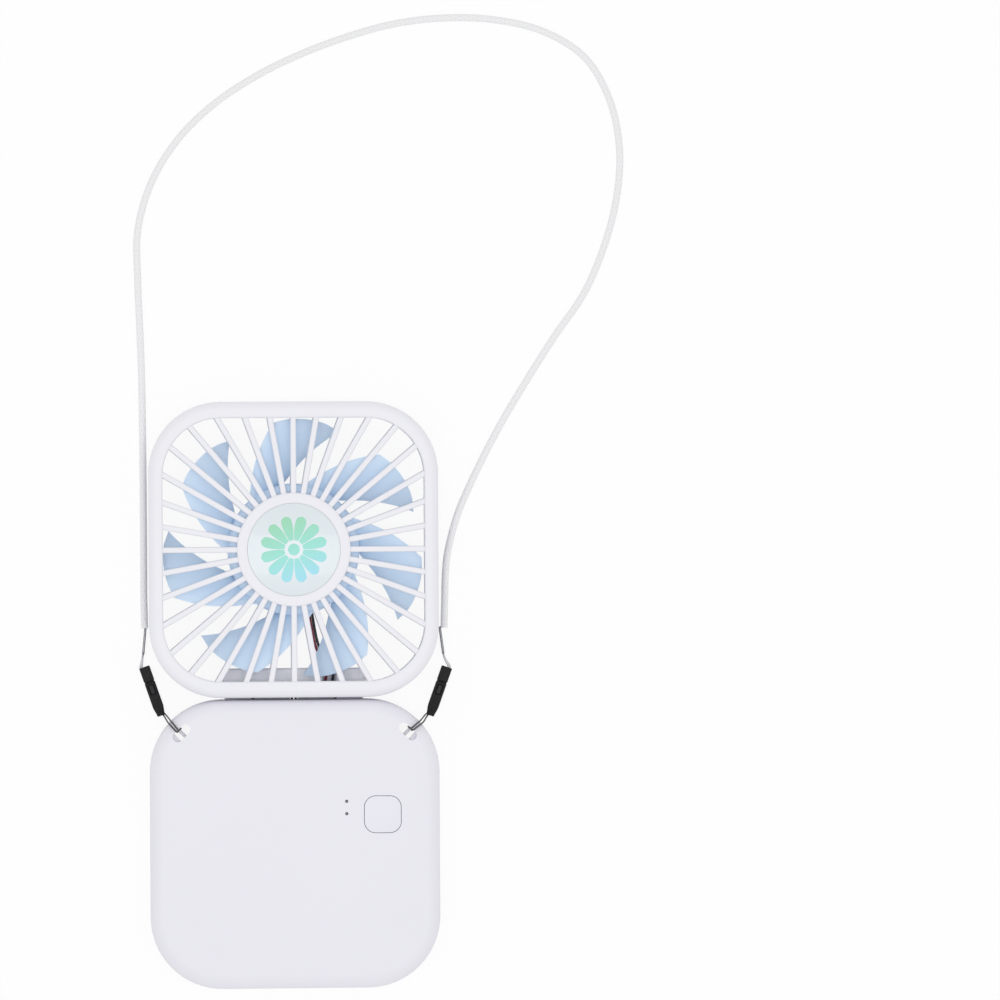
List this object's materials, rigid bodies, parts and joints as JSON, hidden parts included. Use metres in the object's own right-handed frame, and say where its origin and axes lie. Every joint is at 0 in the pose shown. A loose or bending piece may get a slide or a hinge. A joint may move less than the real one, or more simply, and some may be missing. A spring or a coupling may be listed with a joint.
{
  "type": "folding neck fan",
  "caption": "Pocket-size fan with a square-round grille head that folds behind a flat battery base, worn on a neck cord with quick-release clips.",
  "frame": {"origin": "under the middle of the opened fan, on the flat back of the base", "axes": "+Y from the base to the fan head, +Z out of the grille, +X to the right seen from the front"},
  "size_m": [0.1603, 0.3168, 0.0187],
  "materials": {
    "white_plastic": "satin white plastic",
    "rear_white_plastic": "satin white plastic, open back",
    "badge_plastic": "gloss pale plastic with a printed flower",
    "blue_plastic": "pale blue plastic",
    "black_plastic": "black nylon plastic",
    "smoked_plastic": "smoked light lens",
    "clear_plastic": "clear light guide",
    "steel": "plated steel",
    "magnet": "dark bonded magnet and chip cases",
    "copper": "enamelled copper wire",
    "brass": "brass",
    "board_green": "green circuit board",
    "cell_foil": "aluminium pouch foil",
    "foam_tape": "black foam tape",
    "red_wire": "red wire insulation",
    "black_wire": "black wire insulation",
    "white_cord": "woven white polyester cord"
  },
  "bodies": {
    "base": {"base_front_cover": "white_plastic", "base_rear_cover": "white_plastic", "base_screw_1": "steel", "base_screw_2": "steel", "base_screw_3": "steel", "base_screw_4": "steel", "hinge_pin_left": "steel", "hinge_pin_right": "steel", "tact_switch": "magnet", "circuit_board": "board_green", "charge_chip": "magnet", "boost_coil": "magnet", "status_light_upper": "smoked_plastic", "status_light_lower": "smoked_plastic", "light_guide": "clear_plastic", "board_screw_1": "steel", "board_screw_2": "steel", "usb_socket": "steel", "usb_contacts": "black_plastic", "battery_cell": "cell_foil", "cell_pad": "foam_tape", "base_wire_red": "red_wire", "base_wire_black": "black_wire", "cell_wire_red": "red_wire", "cell_wire_black": "black_wire", "neck_cord": "white_cord", "cord_link_left": "steel", "clip_thread_left": "white_cord", "clip_upper_left": "black_plastic", "clip_lower_left": "black_plastic", "strap_loop_left": "black_plastic", "cord_link_right": "steel", "clip_thread_right": "white_cord", "clip_upper_right": "black_plastic", "clip_lower_right": "black_plastic", "strap_loop_right": "black_plastic"},
    "head": {"front_grille": "white_plastic", "centre_badge": "badge_plastic", "rear_grille": "rear_white_plastic", "wire_cover": "rear_white_plastic", "head_screw_1": "steel", "head_screw_2": "steel", "head_screw_3": "steel", "head_screw_4": "steel", "bearing_tube": "brass", "bearing_bush": "brass", "motor_board": "board_green", "stator_core": "steel", "stator_winding": "copper", "head_wire_red": "red_wire", "head_wire_black": "black_wire"},
    "rotor": {"impeller": "blue_plastic", "motor_shaft": "steel", "shaft_clip": "steel", "rotor_yoke": "steel", "rotor_magnet": "magnet"},
    "button": {"power_button": "white_plastic", "switch_plunger": "black_plastic"},
    "latch_left": {"clip_latch_left": "magnet"},
    "latch_right": {"clip_latch_right": "magnet"}
  },
  "joints": [
    {"name": "fold_hinge", "type": "hinge", "parent": "base", "child": "head", "pos_m": [0, -0.0012, 0.0024], "axis": [-1, 0, 0], "range_deg": [0, 180]},
    {"name": "fan_spin", "type": "hinge", "parent": "head", "child": "rotor", "pos_m": [0, 0.0471, 0.0118], "axis": [0, 0, -1], "continuous": true},
    {"name": "button_press", "type": "slide", "parent": "base", "child": "button", "axis": [0, 0, -1], "range_m": [0, 0.0004], "stiffness_N_per_m": 2500},
    {"name": "latch_press_left", "type": "slide", "parent": "base", "child": "latch_left", "axis": [0, 0, -1], "range_m": [0, 0.00035], "stiffness_N_per_m": 1500},
    {"name": "latch_press_right", "type": "slide", "parent": "base", "child": "latch_right", "axis": [0, 0, -1], "range_m": [0, 0.00035], "stiffness_N_per_m": 1500}
  ]
}
